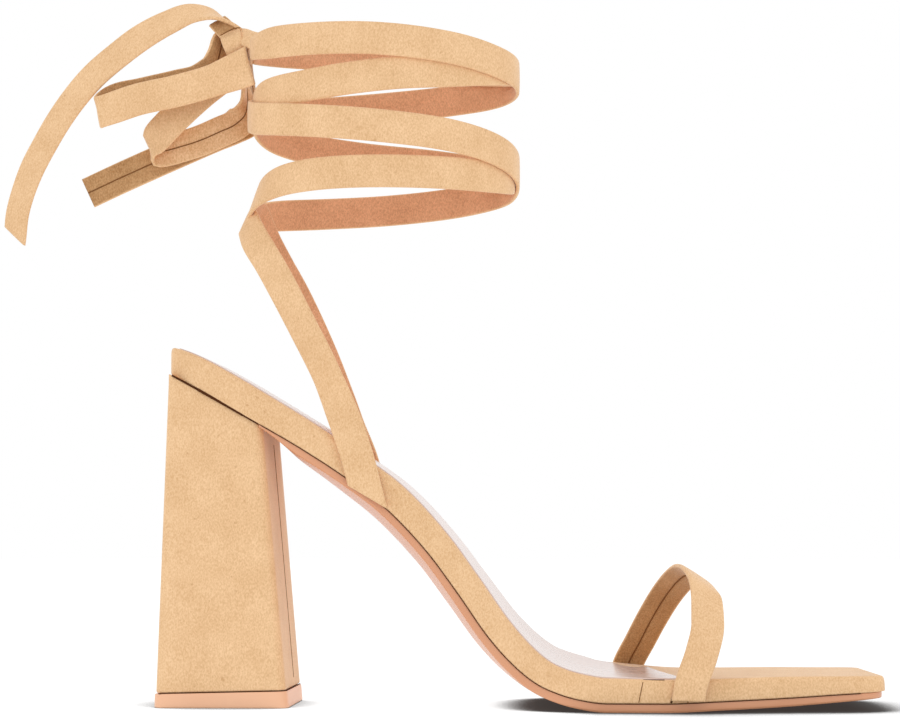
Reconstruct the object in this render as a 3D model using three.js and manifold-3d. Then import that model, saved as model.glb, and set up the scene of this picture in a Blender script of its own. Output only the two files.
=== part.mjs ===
// Women's strap sandal, left shoe: square toe, flared block heel and two ties
// that cross round the ankle and end in a bow behind it. Millimetres, +Z up,
// +X towards the toe, +Y towards the outer side of the foot. The origin is the
// middle of the heel top lift's underside, on the floor.
import * as THREE from 'three';
import { mergeVertices } from 'three/addons/utils/BufferGeometryUtils.js';
import Module from 'manifold-3d';

const wasm = await Module();
wasm.setup();

// Driving dimensions
const fitGap = 0.3;
const soleLength = 212.5;
const seatRise = 96.9;
const seatBack = -16;
const ballHalfWidth = 39;
const seatUpright = 12;
const seatCornerRadius = 7;
const toeCornerRadius = 7;
const toeSetback = 3;
const randThickness = 7.7;
const outsoleThickness = 2.4;
const sockThickness = 0.9;
const sockInset = 1.2;
const sockEnd = 139;
const heelBottomLength = 39;
const heelBottomWidth = 44.5;
const heelTopWidth = 49;
const heelBreast = 11.2;
const heelCornerRadius = 3;
const liftThickness = 4.6;
const liftWedge = 0.9;
const liftSideDraft = 0.4;
const strapWidth = 9.8;
const strapThickness = 1.3;
const toeStrapWidth = 9.6;
const toeStrapThickness = 1.5;
const toeStrapHeight = 40.6;
const toeStrapBack = 119.7;
const toeStrapSweep = 18.8;
const ankleMiddle = 46.8;
const ankleLength = 79.6;
const ankleWidth = 66;
const wrapFoot = 148;
const wrapRise = 51.5;
const tieFoot = 60;
const outerTieSetback = 2.5;
const tieReach = 14;
const foldLean = 24;
const foldTurn = 70;
const foldStart = 0.8;
const layerStep = 1;
const knotLength = 11;
const knotDepth = 9;
const knotHeight = 8;
const knotBack = 2.6;
const knotSide = -1;
const knotClimb = 1.055;
const bowWidth = 9.8;
const bowThickness = 1.2;

// Colours of the four materials
const suede = new THREE.MeshStandardMaterial({ color: 0xddb583, roughness: 0.95, metalness: 0 });
const soleSheet = new THREE.MeshStandardMaterial({ color: 0xe0a888, roughness: 0.4, metalness: 0 });
const sockSheet = new THREE.MeshStandardMaterial({ color: 0xf3e2da, roughness: 0.3, metalness: 0 });
const liftPlastic = new THREE.MeshStandardMaterial({ color: 0xedb692, roughness: 0.45, metalness: 0 });

// The last along the shoe, read from the heel. along: share of the sole's
// length; lift: height of the footbed's underside over the ball, as a share of
// the seat's rise; inner and outer: half widths as shares of the ball's; rand:
// share of the rand's thickness; under: share of the outsole's thickness at
// its edge; crown: the outsole's extra thickness in the middle, same share.
const last = [
  { along: 0, lift: 1.002, inner: 0.6, outer: 0.6, rand: 1.06, under: 0.9, crown: 0 },
  { along: 0.014, lift: 0.986, inner: 0.615, outer: 0.615, rand: 1.13, under: 0.9, crown: 0 },
  { along: 0.075, lift: 0.912, inner: 0.64, outer: 0.64, rand: 1.16, under: 0.9, crown: 0 },
  { along: 0.127, lift: 0.847, inner: 0.645, outer: 0.645, rand: 1.13, under: 0.85, crown: 0.2 },
  { along: 0.188, lift: 0.769, inner: 0.63, outer: 0.64, rand: 1.08, under: 0.8, crown: 0.7 },
  { along: 0.253, lift: 0.676, inner: 0.615, outer: 0.625, rand: 1.04, under: 0.8, crown: 1.1 },
  { along: 0.305, lift: 0.59, inner: 0.61, outer: 0.63, rand: 1.06, under: 0.8, crown: 1.3 },
  { along: 0.365, lift: 0.453, inner: 0.62, outer: 0.665, rand: 1.02, under: 0.8, crown: 1.35 },
  { along: 0.409, lift: 0.325, inner: 0.66, outer: 0.725, rand: 1, under: 0.85, crown: 1.3 },
  { along: 0.452, lift: 0.193, inner: 0.73, outer: 0.81, rand: 1, under: 0.9, crown: 1.15 },
  { along: 0.487, lift: 0.11, inner: 0.8, outer: 0.88, rand: 0.98, under: 0.95, crown: 0.9 },
  { along: 0.518, lift: 0.057, inner: 0.865, outer: 0.935, rand: 0.96, under: 1, crown: 0.55 },
  { along: 0.55, lift: 0.026, inner: 0.92, outer: 0.975, rand: 0.95, under: 1, crown: 0.2 },
  { along: 0.58, lift: 0.009, inner: 0.96, outer: 1, rand: 0.95, under: 1, crown: 0 },
  { along: 0.615, lift: 0, inner: 0.99, outer: 0.995, rand: 0.94, under: 1, crown: 0 },
  { along: 0.69, lift: 0, inner: 0.995, outer: 0.95, rand: 0.89, under: 1, crown: 0 },
  { along: 0.78, lift: 0.007, inner: 0.93, outer: 0.85, rand: 0.85, under: 0.98, crown: 0 },
  { along: 0.86, lift: 0.015, inner: 0.855, outer: 0.755, rand: 0.8, under: 0.95, crown: 0 },
  { along: 0.93, lift: 0.0245, inner: 0.81, outer: 0.7, rand: 0.69, under: 0.84, crown: 0 },
  { along: 1, lift: 0.034, inner: 0.785, outer: 0.67, rand: 0.58, under: 0.65, crown: 0 },
];

// A tie from the rand up to the heel cord of the ankle. ahead: from the ankle's
// middle, share of half its length; out: share of its place at the rand; up:
// share of the way to the back crossing; face: where its outer side looks, in
// degrees from sideways to backwards; lag: how far the outer tie lies behind
// the inner one, share of its setback.
const riser = [
  { ahead: -0.05, out: 1, up: 0, face: 0, lag: 1 },
  { ahead: -0.1, out: 1, up: 0.087, face: 0, lag: 1 },
  { ahead: -0.148, out: 1, up: 0.17, face: 0, lag: 1.05 },
  { ahead: -0.245, out: 1.01, up: 0.3, face: 6, lag: 1.4 },
  { ahead: -0.37, out: 1.02, up: 0.45, face: 27, lag: 1.3 },
  { ahead: -0.535, out: 0.96, up: 0.6, face: 27, lag: 0.9 },
  { ahead: -0.711, out: 0.83, up: 0.75, face: 24, lag: 0.65 },
  { ahead: -0.825, out: 0.67, up: 0.84, face: 27, lag: 0.55 },
  { ahead: -0.93, out: 0.47, up: 0.92, face: 37, lag: 0.25 },
  { ahead: -0.985, out: 0.22, up: 0.985, face: 62, lag: 0 },
];

// The turns round the ankle. turn: degrees past the first crossing behind;
// climb: share of the wraps' rise; layer: how many straps lie under it.
const innerTieTurns = [
  { turn: 0, climb: 0, layer: 2.2 },
  { turn: 30, climb: 0.064, layer: 1.2 },
  { turn: 60, climb: 0.102, layer: 0.5 },
  { turn: 90, climb: 0.132, layer: 0.3 },
  { turn: 135, climb: 0.184, layer: 0.7 },
  { turn: 160, climb: 0.22, layer: 1 },
  { turn: 180, climb: 0.282, layer: 1 },
  { turn: 200, climb: 0.34, layer: 1 },
  { turn: 235, climb: 0.421, layer: 1 },
  { turn: 265, climb: 0.466, layer: 1 },
  { turn: 310, climb: 0.532, layer: 1 },
  { turn: 335, climb: 0.573, layer: 1 },
  { turn: 360, climb: 0.631, layer: 1 },
  { turn: 405, climb: 0.709, layer: 0.6 },
  { turn: 450, climb: 0.777, layer: 0.5 },
  { turn: 480, climb: 0.804, layer: 0.7 },
  { turn: 510, climb: 0.82, layer: 1 },
  { turn: 540, climb: 0.85, layer: 1 },
  { turn: 570, climb: 0.888, layer: 1 },
  { turn: 595, climb: 0.932, layer: 1 },
  { turn: 630, climb: 0.977, layer: 1 },
  { turn: 660, climb: 0.992, layer: 1 },
  { turn: 700, climb: 1.002, layer: 1 },
  { turn: 716, climb: 0.988, layer: 1 },
];
const outerTieTurns = [
  { turn: 0, climb: 0.045, layer: 0 },
  { turn: 20, climb: 0.125, layer: 0 },
  { turn: 40, climb: 0.178, layer: 0 },
  { turn: 60, climb: 0.203, layer: 0 },
  { turn: 90, climb: 0.212, layer: 0 },
  { turn: 130, climb: 0.21, layer: 0 },
  { turn: 160, climb: 0.22, layer: 0 },
  { turn: 180, climb: 0.245, layer: 0 },
  { turn: 210, climb: 0.305, layer: 0 },
  { turn: 253, climb: 0.41, layer: 0 },
  { turn: 285, climb: 0.46, layer: 0 },
  { turn: 310, climb: 0.497, layer: 0 },
  { turn: 335, climb: 0.542, layer: 0 },
  { turn: 360, climb: 0.615, layer: 0 },
  { turn: 385, climb: 0.694, layer: 0 },
  { turn: 418, climb: 0.725, layer: 0 },
  { turn: 440, climb: 0.755, layer: 0 },
  { turn: 460, climb: 0.782, layer: 0 },
  { turn: 480, climb: 0.802, layer: 0 },
  { turn: 515, climb: 0.855, layer: 0 },
  { turn: 540, climb: 0.893, layer: 0 },
  { turn: 600, climb: 1, layer: 0 },
  { turn: 630, climb: 1.075, layer: 0 },
  { turn: 655, climb: 1.09, layer: 0 },
  { turn: 690, climb: 1.075, layer: 0.5 },
  { turn: 716, climb: 1.05, layer: 1 },
];

// The toe strap over the toes, from the inner rand to the outer one. out: share
// of the half width at its ends; up: share of its height; ahead: share of its
// sweep from the outer end; tip: how far its front edge hangs, in degrees.
const toeArch = [
  { out: -1, up: 0.07, ahead: 0.973, tip: 0 },
  { out: -1, up: 0.22, ahead: 1.037, tip: 0 },
  { out: -0.985, up: 0.42, ahead: 1.19, tip: 8 },
  { out: -0.945, up: 0.63, ahead: 1.29, tip: 18 },
  { out: -0.87, up: 0.79, ahead: 1.285, tip: 26 },
  { out: -0.75, up: 0.895, ahead: 1.235, tip: 31 },
  { out: -0.5, up: 0.965, ahead: 1.14, tip: 33 },
  { out: -0.2, up: 0.98, ahead: 1.05, tip: 33 },
  { out: 0.12, up: 0.93, ahead: 0.91, tip: 33 },
  { out: 0.45, up: 0.805, ahead: 0.72, tip: 31 },
  { out: 0.72, up: 0.63, ahead: 0.51, tip: 26 },
  { out: 0.89, up: 0.45, ahead: 0.315, tip: 16 },
  { out: 1, up: 0.26, ahead: 0.11, tip: 6 },
  { out: 1, up: 0.07, ahead: 0, tip: 0 },
];

// The bow's cords, each a route of chosen points in millimetres: x, y, z, then
// the way its outer side looks, in degrees from the inner side of the foot
// towards the back (turn) and upwards (nod).
const tailLongRoute = [
  [2.6, -0.6, 206.9, 0, 88], [0.6, -1, 208.3, 0, 86], [-1.8, -1.5, 209.7, 0, 82],
  [-4.4, -1.9, 211, 0, 76], [-8.2, -2.1, 212.2, 0, 58], [-12.6, -2.5, 212.2, 0, 44],
  [-19.8, -3, 209.3, 0, 33], [-27.8, -3, 204.9, 0, 26], [-35.5, -2.6, 199.3, 8, 22],
  [-43.2, -2, 192.8, 14, 18], [-49.1, -1, 186.3, 20, 14], [-54.2, 0, 179.4, 25, 9],
  [-58.8, 1, 171.9, 29, 4], [-62.5, 1.4, 164.9, 31, 0], [-65.2, 1.6, 157.9, 33, 0],
  [-67, 1.6, 151.2, 34, 0], [-67.8, 1.6, 143.9, 35, 0],
];
const upperLoopRoute = [
  [-3.4, 0.6, 203.8, 124, 0], [-4.4, -0.2, 199.8, 128, 0], [-5.6, -0.6, 195.6, 150, 0],
  [-10.4, -0.6, 191.9, 176, 0], [-17, -0.6, 190.2, 180, 0], [-28.6, -0.6, 187.6, 180, 0],
  [-36.5, -1, 185.6, 172, 0], [-39.6, -2.2, 183, 130, -8], [-40.7, -4, 181.5, 90, -12],
  [-40.2, -5.7, 181.3, 50, -8], [-37, -6.6, 182.1, 5, 0], [-28.6, -6.9, 184.8, 0, 0],
  [-16.9, -7, 187.3, 0, 0], [-4.7, -7.4, 190.6, 0, 0], [0, -8, 192.3, 6, 0],
  [4, -9.4, 193.7, 16, 0], [6.6, -11.6, 194.6, 30, 0],
];
const lowerLoopRoute = [
  [-1.2, 4.2, 195.5, 0, 0], [-4, 4, 193.2, 0, 0], [-8.9, 3.2, 189.2, 0, 0],
  [-15.1, 2.6, 183.6, 0, 0], [-20.8, 2.6, 178, 0, 0], [-24.2, 3, 174.2, 25, -15],
  [-26, 4.6, 171.4, 90, -25], [-24.6, 6.2, 170.4, 150, -15], [-21.5, 7, 170.9, 175, 0],
  [-17.3, 7, 172, 180, 0], [-11.4, 7.4, 173.9, 180, 0], [-4.9, 8, 176.8, 180, 0],
  [0, 8.8, 179.3, 178, 0], [2.4, 9.2, 182, 150, 0], [3.2, 8.6, 186, 112, 0],
  [3.1, 7.2, 190, 94, 0], [2.8, 5.6, 194, 90, 0],
];
const tailShortRoute = [
  [-46.7, 11, 158.2, 180, 0], [-36.8, 11, 162.8, 180, 0], [-26.7, 11, 167.3, 180, 0],
  [-16.4, 11.5, 171.9, 180, 0], [-7, 12.4, 176.1, 180, 0], [-1, 14, 178.8, 176, 0],
  [3, 16.6, 181.6, 156, 0], [4.2, 18.2, 185.4, 122, 0], [3.8, 18.4, 189.6, 100, 0],
  [3.3, 17.4, 194.4, 93, 0], [3.1, 15, 199, 91, 0], [2.8, 11, 202.4, 90, 20],
  [2.6, 7.4, 204, 90, 30],
];

const stationsAlong = 44;
const cornerSteps = 5;
const acrossSteps = 6;
const strapStep = 5;
const degree = Math.PI / 180;

// A smooth value of one column of a table at a place along its key column,
// which stays level where two rows are level and never passes its rows
function smooth(rows, key, column, at) {
  let i = 0;
  while (i < rows.length - 2 && at > rows[i + 1][key]) {
    i += 1;
  }
  const rate = (k) => (rows[k + 1][column] - rows[k][column]) / (rows[k + 1][key] - rows[k][key]);
  const slope = (k) => {
    const before = rate(Math.max(k - 1, 0));
    const after = rate(Math.min(k, rows.length - 2));
    if (before * after <= 0) {
      return 0;
    }
    const least = 3 * Math.min(Math.abs(before), Math.abs(after));
    return Math.sign(before) * Math.min(Math.abs(before + after) / 2, least);
  };
  const span = rows[i + 1][key] - rows[i][key];
  const t = Math.min(Math.max((at - rows[i][key]) / span, 0), 1);
  const rest = t * t * (3 - 2 * t);
  const leaving = slope(i) * span * t * (1 - t) ** 2;
  const arriving = slope(i + 1) * span * t * t * (t - 1);
  return rows[i][column] * (1 - rest) + rows[i + 1][column] * rest + leaving + arriving;
}

// A closed body from rings of equally many points, with flat ends
function skinned(rings) {
  const size = rings[0].length;
  const positions = rings.flat().flatMap((p) => [p.x, p.y, p.z]);
  const faces = [];
  for (let i = 0; i < rings.length - 1; i += 1) {
    for (let j = 0; j < size; j += 1) {
      const a = i * size + j;
      const b = i * size + ((j + 1) % size);
      faces.push(a, b, b + size, a, b + size, a + size);
    }
  }
  const cap = (base, flip) => {
    for (let j = 0; j < size / 2 - 1; j += 1) {
      const quad = [base + j, base + j + 1, base + size - 2 - j, base + size - 1 - j];
      const [a, b, c, d] = flip ? quad.slice().reverse() : quad;
      faces.push(a, b, c, a, c, d);
    }
  };
  cap(0, true);
  cap((rings.length - 1) * size, false);
  const geometry = new THREE.BufferGeometry();
  geometry.setAttribute('position', new THREE.Float32BufferAttribute(positions, 3));
  geometry.setIndex(faces);
  return outward(geometry);
}

// The same body with its faces pointing out
function outward(geometry) {
  const p = geometry.getAttribute('position');
  const index = Array.from(geometry.getIndex().array);
  const a = new THREE.Vector3();
  const b = new THREE.Vector3();
  const c = new THREE.Vector3();
  let volume = 0;
  for (let i = 0; i < index.length; i += 3) {
    a.fromBufferAttribute(p, index[i]);
    b.fromBufferAttribute(p, index[i + 1]);
    c.fromBufferAttribute(p, index[i + 2]);
    volume += a.dot(b.cross(c));
  }
  if (volume < 0) {
    for (let i = 0; i < index.length; i += 3) {
      [index[i], index[i + 1]] = [index[i + 1], index[i]];
    }
    geometry.setIndex(index);
  }
  return geometry;
}

function solid(geometry) {
  const bare = geometry.clone();
  bare.deleteAttribute('normal');
  bare.deleteAttribute('uv');
  const merged = mergeVertices(bare, 1e-4);
  return new wasm.Manifold(new wasm.Mesh({
    numProp: 3,
    vertProperties: new Float32Array(merged.getAttribute('position').array),
    triVerts: new Uint32Array(merged.getIndex().array),
  }));
}

function shape(body) {
  const mesh = body.getMesh();
  const geometry = new THREE.BufferGeometry();
  geometry.setAttribute('position', new THREE.Float32BufferAttribute(mesh.vertProperties, 3));
  geometry.setIndex(Array.from(mesh.triVerts));
  return geometry;
}

function named(name, geometry, material) {
  geometry.computeVertexNormals();
  const mesh = new THREE.Mesh(geometry, material);
  mesh.name = name;
  return mesh;
}

// The footbed's underside at a share of the length: place, slope and table row
const ballStack = outsoleThickness + fitGap;
function station(along) {
  const column = (name) => smooth(last, 'along', name, along);
  const height = (share) => ballStack + seatRise * smooth(last, 'along', 'lift', share);
  const nudge = 0.004;
  const low = Math.min(Math.max(along - nudge, 0), 1 - nudge);
  const high = Math.max(Math.min(along + nudge, 1), nudge);
  const tangent = new THREE.Vector2((high - low) * soleLength, height(high) - height(low)).normalize();
  const slope = tangent.y * smoothStep(along * soleLength / seatUpright);
  return {
    x: seatBack + along * soleLength,
    z: height(along),
    normal: new THREE.Vector2(-slope, tangent.x).normalize(),
    inner: column('inner') * ballHalfWidth,
    outer: column('outer') * ballHalfWidth,
    rand: column('rand') * randThickness,
    under: column('under') * outsoleThickness,
    crown: column('crown') * outsoleThickness,
  };
}

// How far a rounded corner pulls a side in, at a distance from the end
function cornerPull(distance, radius) {
  const near = Math.max(radius - Math.max(distance, 0), 0);
  return radius - Math.sqrt(radius ** 2 - near ** 2);
}

// Places along a sheet of the sole, closer together round its corners
function places(from, to, startRadius, endRadius) {
  const list = [];
  const round = (radius) => Array.from({ length: radius > 0 ? cornerSteps : 0 }, (_, i) => (
    radius * (1 - Math.cos((i / cornerSteps) * Math.PI / 2))));
  list.push(...round(startRadius).map((d) => from + d));
  const inside = to - endRadius - from - startRadius;
  const steps = Math.round(stationsAlong * inside / soleLength);
  for (let i = 0; i <= steps; i += 1) {
    list.push(from + startRadius + inside * i / steps);
  }
  list.push(...round(endRadius).map((d) => to - d).reverse());
  return list;
}

// A sheet of the sole between two offsets from the footbed's underside.
// top and bottom give the offset at a station and a share across it.
function soleSheetBody({ from, to, startRadius, endRadius, inset, top, bottom }) {
  const rings = places(from, to, startRadius, endRadius).map((x) => {
    const along = (x - seatBack) / soleLength;
    const s = station(along);
    const pull = cornerPull(x - from, startRadius) + cornerPull(to - x, endRadius);
    const setback = toeSetback * smoothStep((along - 0.7) / 0.3);
    const upper = [];
    const lower = [];
    for (let k = 0; k <= acrossSteps; k += 1) {
      const share = k / acrossSteps;
      const y = -(s.inner - inset - pull) + share * (s.inner + s.outer - 2 * (inset + pull));
      const slant = -setback * (y + s.inner) / (s.inner + s.outer);
      const point = (offset) => new THREE.Vector3(
        s.x + slant + s.normal.x * offset, y, s.z + s.normal.y * offset);
      upper.push(point(top(s, share)));
      lower.push(point(bottom(s, share)));
    }
    return [...upper, ...lower.reverse()];
  });
  return skinned(rings);
}

function smoothStep(t) {
  const k = Math.min(Math.max(t, 0), 1);
  return k * k * (3 - 2 * k);
}

const soleEnd = seatBack + soleLength;
const bulge = (share) => Math.sin(Math.PI * share);

function makeFootbed() {
  return soleSheetBody({
    from: seatBack,
    to: soleEnd,
    startRadius: seatCornerRadius,
    endRadius: toeCornerRadius,
    inset: 0,
    top: (s) => s.rand,
    bottom: () => 0,
  });
}

function makeSock() {
  return soleSheetBody({
    from: seatBack + sockInset,
    to: sockEnd,
    startRadius: seatCornerRadius,
    endRadius: toeCornerRadius,
    inset: sockInset,
    top: (s) => s.rand + fitGap + sockThickness,
    bottom: (s) => s.rand + fitGap,
  });
}

// The heel block's rings from the top lift up past the footbed, which trims it
function heelRing(height, grow, widen) {
  const share = Math.min((height - liftThickness) / (seatRise - liftThickness), 1);
  const back = -heelBottomLength / 2 + (seatBack + heelBottomLength / 2) * share - grow;
  const front = heelBottomLength / 2 + (heelBreast - heelBottomLength / 2) * share + grow;
  const side = (heelBottomWidth + (heelTopWidth - heelBottomWidth) * share) / 2 + grow + widen;
  const corner = heelCornerRadius + grow;
  const points = [];
  const corners = [[front, -side, -90], [front, side, 0], [back, side, 90], [back, -side, 180]];
  for (const [x, y, start] of corners) {
    for (let i = 0; i < cornerSteps; i += 1) {
      const angle = (start + 90 * i / (cornerSteps - 1)) * degree;
      points.push(new THREE.Vector3(
        x - Math.sign(x) * corner + corner * Math.cos(angle),
        y - Math.sign(y) * corner + corner * Math.sin(angle),
        height));
    }
  }
  return points;
}

function heelColumn(bottom, top, grow, widen = 0) {
  const rings = [];
  const levels = 5;
  for (let i = 0; i <= levels; i += 1) {
    rings.push(heelRing(bottom + (top - bottom) * i / levels, grow, widen));
  }
  return skinned(rings);
}

// The lift's top face slopes up to the front by the wedge
const wedgeHeight = (x) => liftThickness + liftWedge * x / heelBottomLength;

function aboveLift(gap) {
  const reach = soleLength;
  const face = [-reach, reach].flatMap((x) => [-reach, reach].map((y) => (
    new THREE.Vector3(x, y, wedgeHeight(x) + gap))));
  const sky = [-reach, reach].flatMap((x) => [-reach, reach].map((y) => (
    new THREE.Vector3(x, y, wedgeHeight(x) + gap + reach))));
  const order = [0, 1, 3, 2];
  return skinned([order.map((i) => face[i]), order.map((i) => sky[i])]);
}

function makeHeelBlock() {
  const overFootbed = soleSheetBody({
    from: seatBack - heelBottomLength,
    to: soleEnd,
    startRadius: 0,
    endRadius: 0,
    inset: -heelBottomWidth,
    top: (s) => s.rand + seatRise,
    bottom: () => -fitGap,
  });
  const column = solid(heelColumn(0, seatRise + randThickness, 0));
  return shape(column.subtract(solid(overFootbed)).intersect(solid(aboveLift(fitGap))));
}

function makeLift() {
  const column = solid(heelColumn(0, 2 * liftThickness, liftSideDraft));
  return shape(column.subtract(solid(aboveLift(0))));
}

function makeOutsole() {
  const sheet = soleSheetBody({
    from: heelBreast - heelCornerRadius,
    to: soleEnd,
    startRadius: 0,
    endRadius: toeCornerRadius,
    inset: fitGap,
    top: () => -fitGap,
    bottom: (s, share) => -fitGap - s.under - s.crown * bulge(share),
  });
  const heel = heelColumn(0, seatRise + randThickness, fitGap, ballHalfWidth);
  return shape(solid(sheet).subtract(solid(heel)));
}

// A flat strap through stations, each with a middle, a way across and a way out
function strap(stations, width, thickness) {
  return skinned(stations.map(({ middle, across, out }) => {
    const corner = (w, t) => middle.clone()
      .addScaledVector(across, w * width / 2)
      .addScaledVector(out, t * thickness / 2);
    return [corner(-1, 1), corner(0, 1), corner(1, 1), corner(1, -1), corner(0, -1), corner(-1, -1)];
  }));
}

// The way a line of points runs at one of them
function headingAt(points, i) {
  const before = points[Math.max(i - 1, 0)];
  const after = points[Math.min(i + 1, points.length - 1)];
  return after.clone().sub(before).normalize();
}

// Stations from middles and outward ways: across is square to both
function stationsFrom(middles, outs) {
  return middles.map((middle, i) => {
    const ahead = headingAt(middles, i);
    const across = new THREE.Vector3().crossVectors(outs[i], ahead).normalize();
    const out = new THREE.Vector3().crossVectors(ahead, across).normalize();
    return { middle, across, out };
  });
}

// The middle of a strap that stands off the footbed's widest side near a place
function besideFootbed(x, edge, reach, thickness) {
  const widest = Math.max(...[-1, 0, 1].map((k) => station((x + k * reach - seatBack) / soleLength)[edge]));
  return widest + fitGap + thickness / 2;
}

// A way out that leans up by some degrees
function leaning(out, degrees) {
  return out.multiplyScalar(Math.cos(degrees * degree)).setZ(Math.sin(degrees * degree));
}

// One tie: side is -1 for the inner rand, 1 for the outer one. It folds over
// and crosses the other behind the ankle, and goes round its far side. shift
// moves its foot back.
function tie(side, turns, shift) {
  const middles = [];
  const outs = [];
  const backFoot = wrapFoot + turns[0].climb * wrapRise;
  const footPlace = ankleMiddle + riser[1].ahead * ankleLength / 2 - shift;
  const spread = besideFootbed(footPlace, side < 0 ? 'inner' : 'outer', tieReach, strapThickness);
  const steps = 18;
  for (let i = 0; i < steps; i += 1) {
    const share = riser[riser.length - 1].up * i / (steps - 1);
    const value = (column) => smooth(riser, 'up', column, share);
    const face = value('face') * degree;
    const out = new THREE.Vector3(-Math.sin(face), side * Math.cos(face), 0);
    const middle = new THREE.Vector3(
      ankleMiddle + value('ahead') * ankleLength / 2 - shift * value('lag'),
      side * value('out') * spread,
      tieFoot + share * (backFoot - tieFoot));
    middle.addScaledVector(out, turns[0].layer * layerStep * share);
    middles.push(middle);
    outs.push(leaning(out, foldLean * smoothStep((share - foldStart) / (1 - foldStart))));
  }
  const wound = turns[turns.length - 1].turn;
  const count = Math.round(wound * degree * ankleLength / 2 / strapStep);
  for (let i = 0; i <= count; i += 1) {
    const turn = wound * i / count;
    const radius = smooth(turns, 'turn', 'layer', turn) * layerStep;
    const angle = (180 + side * turn) * degree;
    middles.push(new THREE.Vector3(
      ankleMiddle + (ankleLength / 2 + radius) * Math.cos(angle),
      (ankleWidth / 2 + radius) * Math.sin(angle),
      wrapFoot + smooth(turns, 'turn', 'climb', turn) * wrapRise));
    const out = new THREE.Vector3(Math.cos(angle) / ankleLength, Math.sin(angle) / ankleWidth, 0);
    outs.push(leaning(out.normalize(), foldLean * (1 - smoothStep(turn / foldTurn))));
  }
  return strap(stationsFrom(middles, outs), strapWidth, strapThickness);
}

function makeKnot(grow) {
  const geometry = new THREE.IcosahedronGeometry(0.5, 2);
  geometry.scale(knotLength + 2 * grow, knotDepth + 2 * grow, knotHeight + 2 * grow);
  geometry.translate(knotBack, knotSide, wrapFoot + wrapRise * knotClimb);
  geometry.deleteAttribute('normal');
  geometry.deleteAttribute('uv');
  return mergeVertices(geometry, 1e-4);
}

function makeAnkleStraps() {
  const innerTie = solid(tie(-1, innerTieTurns, 0));
  const outerTie = solid(tie(1, outerTieTurns, outerTieSetback));
  return shape(innerTie.add(outerTie).subtract(solid(makeKnot(fitGap))));
}

// The toe strap, whose ends stand off the footbed's widest side under them
function makeToeStrap() {
  const middles = [];
  const acrosses = [];
  const steps = 26;
  const keyed = toeArch.map((row, i) => ({ ...row, key: i }));
  const halfAt = (x, edge) => besideFootbed(x, edge, toeStrapWidth / 2, toeStrapThickness);
  const halfInner = halfAt(toeStrapBack + toeStrapSweep, 'inner');
  const halfOuter = halfAt(toeStrapBack, 'outer');
  for (let i = 0; i <= steps; i += 1) {
    const at = (keyed.length - 1) * i / steps;
    const value = (column) => smooth(keyed, 'key', column, at);
    const tip = value('tip') * degree;
    const half = value('out') < 0 ? halfInner : halfOuter;
    middles.push(new THREE.Vector3(
      toeStrapBack + value('ahead') * toeStrapSweep,
      value('out') * half,
      value('up') * toeStrapHeight));
    acrosses.push(new THREE.Vector3(Math.cos(tip), 0, -Math.sin(tip)));
  }
  const outs = middles.map((_, i) => (
    new THREE.Vector3().crossVectors(acrosses[i], headingAt(middles, i)).normalize()));
  return strap(stationsFrom(middles, outs), toeStrapWidth, toeStrapThickness);
}

// A cord of the bow along its route
function makeCord(route) {
  const middles = route.map(([x, y, z]) => new THREE.Vector3(x, y, z));
  const outs = route.map(([, , , turn, nod]) => new THREE.Vector3(
    -Math.sin(turn * degree) * Math.cos(nod * degree),
    -Math.cos(turn * degree) * Math.cos(nod * degree),
    Math.sin(nod * degree)));
  const body = solid(strap(stationsFrom(middles, outs), bowWidth, bowThickness));
  return shape(body.subtract(solid(makeKnot(fitGap))));
}

const sandal = new THREE.Group();
sandal.add(
  named('heel_top_lift', makeLift(), liftPlastic),
  named('heel_block', makeHeelBlock(), suede),
  named('outsole', makeOutsole(), soleSheet),
  named('footbed', makeFootbed(), suede),
  named('insole_sock', makeSock(), sockSheet),
  named('toe_strap', makeToeStrap(), suede),
  named('ankle_straps', makeAnkleStraps(), suede),
  named('knot', makeKnot(0), suede),
  named('bow_loop_upper', makeCord(upperLoopRoute), suede),
  named('bow_loop_lower', makeCord(lowerLoopRoute), suede),
  named('tail_long', makeCord(tailLongRoute), suede),
  named('tail_short', makeCord(tailShortRoute), suede),
);

export default sandal;
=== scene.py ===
# %% [markdown]
# The left shoe of a lace-up sandal: square toe, high flared block heel, one
# strap over the toes and two flat ties that wind round the ankle and end in a
# bow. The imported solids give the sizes. Each piece below stands in the place
# of one of them and adds the finish. Lengths in the tables are millimetres.

# %% Load the fixed frame
import math

import bmesh
import bpy
import numpy as np
from mathutils import Matrix


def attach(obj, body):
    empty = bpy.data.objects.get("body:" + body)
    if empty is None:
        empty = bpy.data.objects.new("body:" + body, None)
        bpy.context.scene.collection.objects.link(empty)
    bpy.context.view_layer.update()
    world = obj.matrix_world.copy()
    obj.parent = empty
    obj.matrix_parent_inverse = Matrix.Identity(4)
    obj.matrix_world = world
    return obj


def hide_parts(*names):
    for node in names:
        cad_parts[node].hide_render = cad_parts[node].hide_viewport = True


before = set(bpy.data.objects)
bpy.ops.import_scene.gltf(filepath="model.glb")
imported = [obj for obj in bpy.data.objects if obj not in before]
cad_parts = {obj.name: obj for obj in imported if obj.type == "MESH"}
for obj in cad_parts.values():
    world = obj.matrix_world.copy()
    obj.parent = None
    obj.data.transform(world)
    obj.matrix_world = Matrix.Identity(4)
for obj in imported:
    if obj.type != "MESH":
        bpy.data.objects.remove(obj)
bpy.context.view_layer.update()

MM = 0.001

# %% [markdown]
# The camera comes first, because every later choice is judged through it. The
# photograph looks at the inner side from low down, a little from the toe end,
# with a long lens. A product shot has its white sheet and one big soft light.

# %% Camera
CAMERA_PLACE = (111.42, -854.0, 51.4)
CAMERA_YAW = 2.959
CAMERA_RISE = 3.495
LENS = 112


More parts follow.
